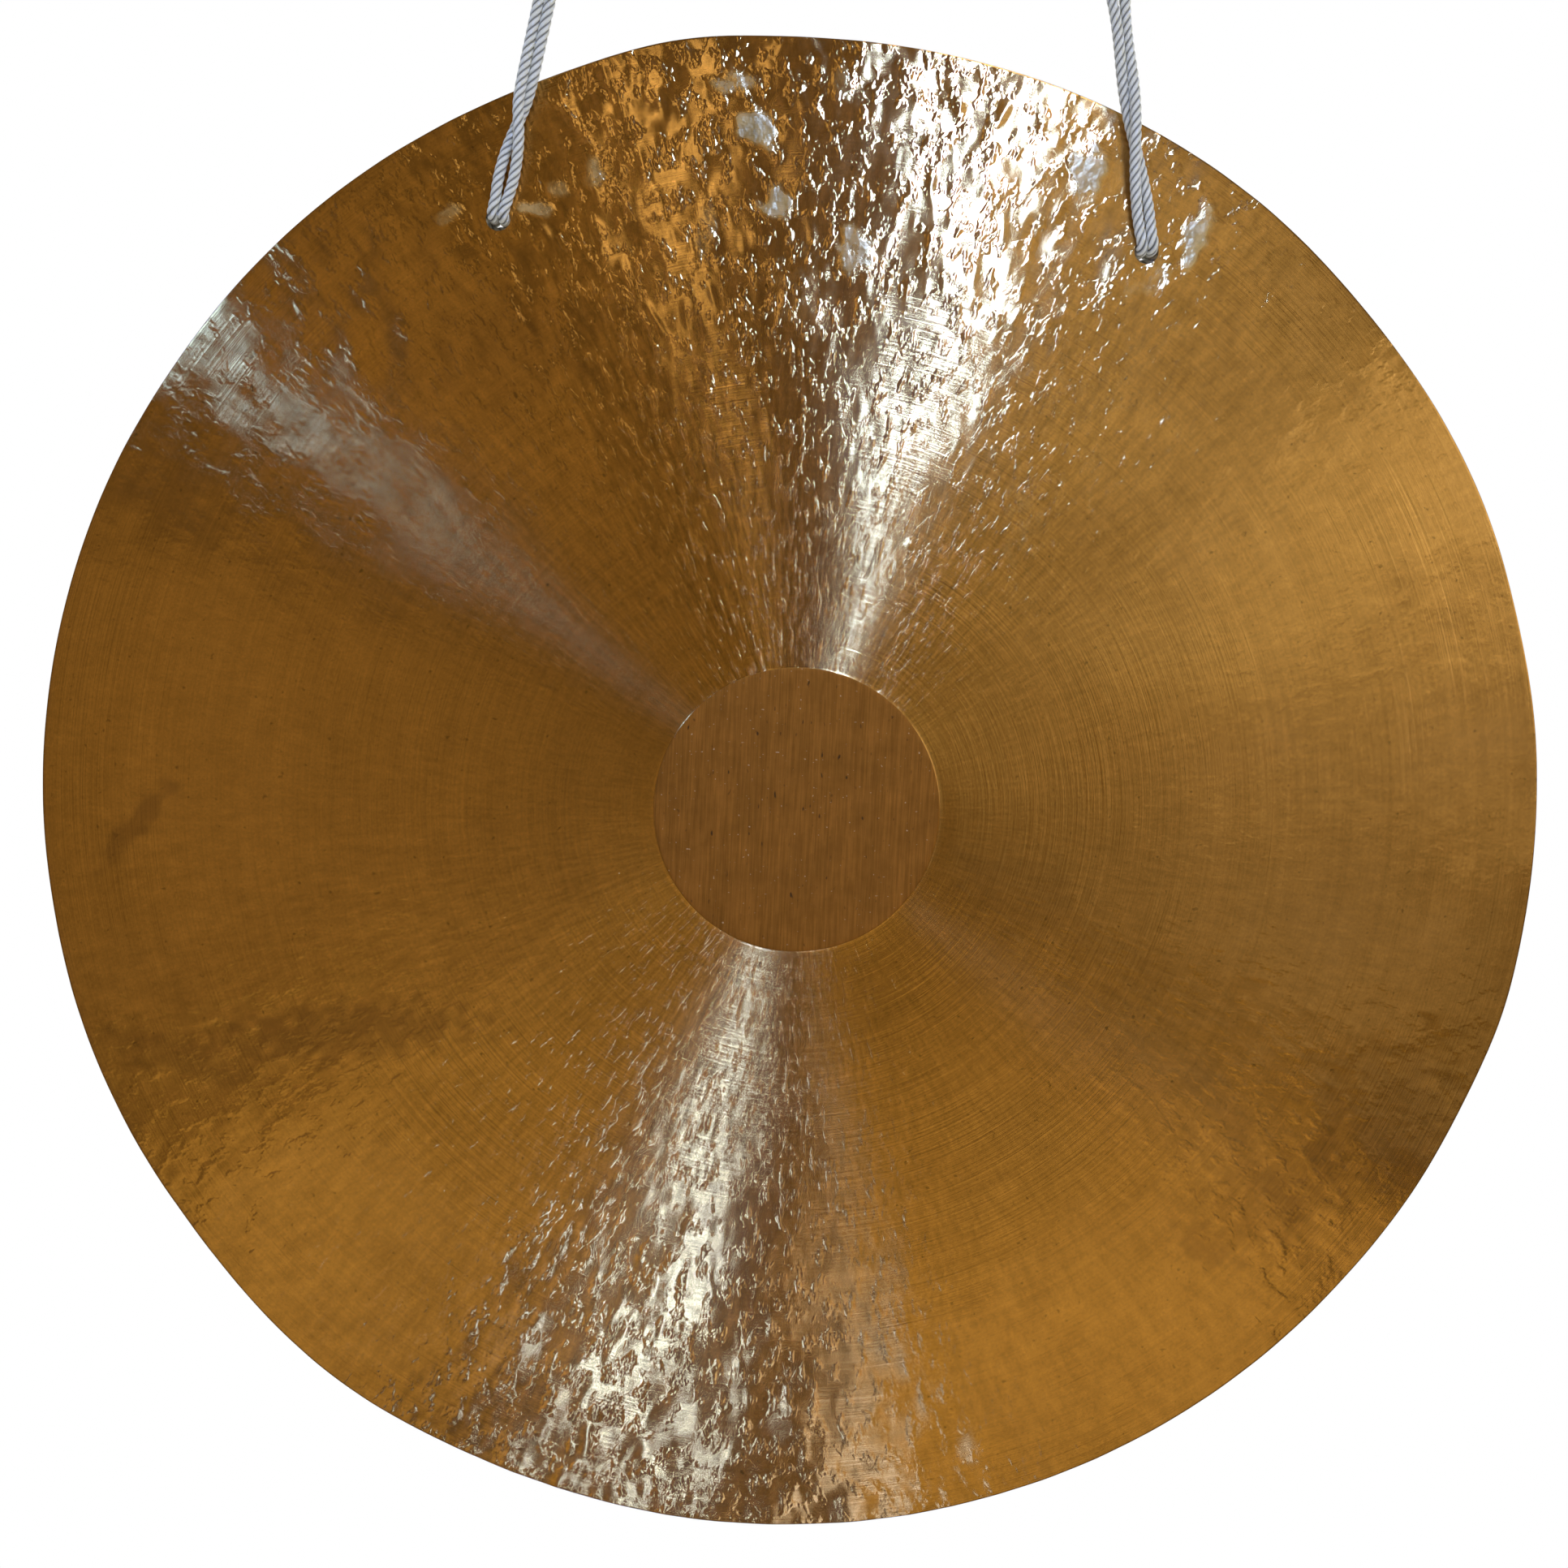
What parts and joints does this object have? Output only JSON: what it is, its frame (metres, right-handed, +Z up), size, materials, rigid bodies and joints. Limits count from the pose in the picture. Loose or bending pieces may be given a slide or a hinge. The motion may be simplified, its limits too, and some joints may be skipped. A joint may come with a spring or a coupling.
{
  "type": "wind gong",
  "caption": "Flat hammered and lathe-turned bronze wind gong that hangs in doubled white cords from steel S-hooks.",
  "frame": {"origin": "midway between the seats of the two S-hooks, where a stand's rings or bar carry them, in the plane of the hanging cords", "axes": "+X to the right through both cord holes, seen from the front; the front of the disc faces -Y; +Z up"},
  "size_m": [0.6, 0.031, 0.678],
  "materials": {
    "bronze": "hammered and lathe-turned bronze, semi-gloss, with an unturned matte brown centre",
    "cord": "twisted white synthetic cord, matt",
    "hook_steel": "bent round wire, bright zinc plate"
  },
  "bodies": {
    "hooks": {"left_hook": "hook_steel", "right_hook": "hook_steel"},
    "cords": {"left_cord": "cord", "right_cord": "cord"},
    "gong": {"gong_disc": "bronze", "left_knot": "cord", "right_knot": "cord"}
  },
  "joints": [
    {"name": "cord_swing", "type": "hinge", "parent": "hooks", "child": "cords", "pos_m": [0, 0, -0.03], "axis": [1, 0, 0], "range_deg": [-20, 20]},
    {"name": "gong_tilt", "type": "hinge", "parent": "cords", "child": "gong", "pos_m": [0, 0, -0.1425], "axis": [1, 0, 0], "range_deg": [-20, 3]}
  ]
}
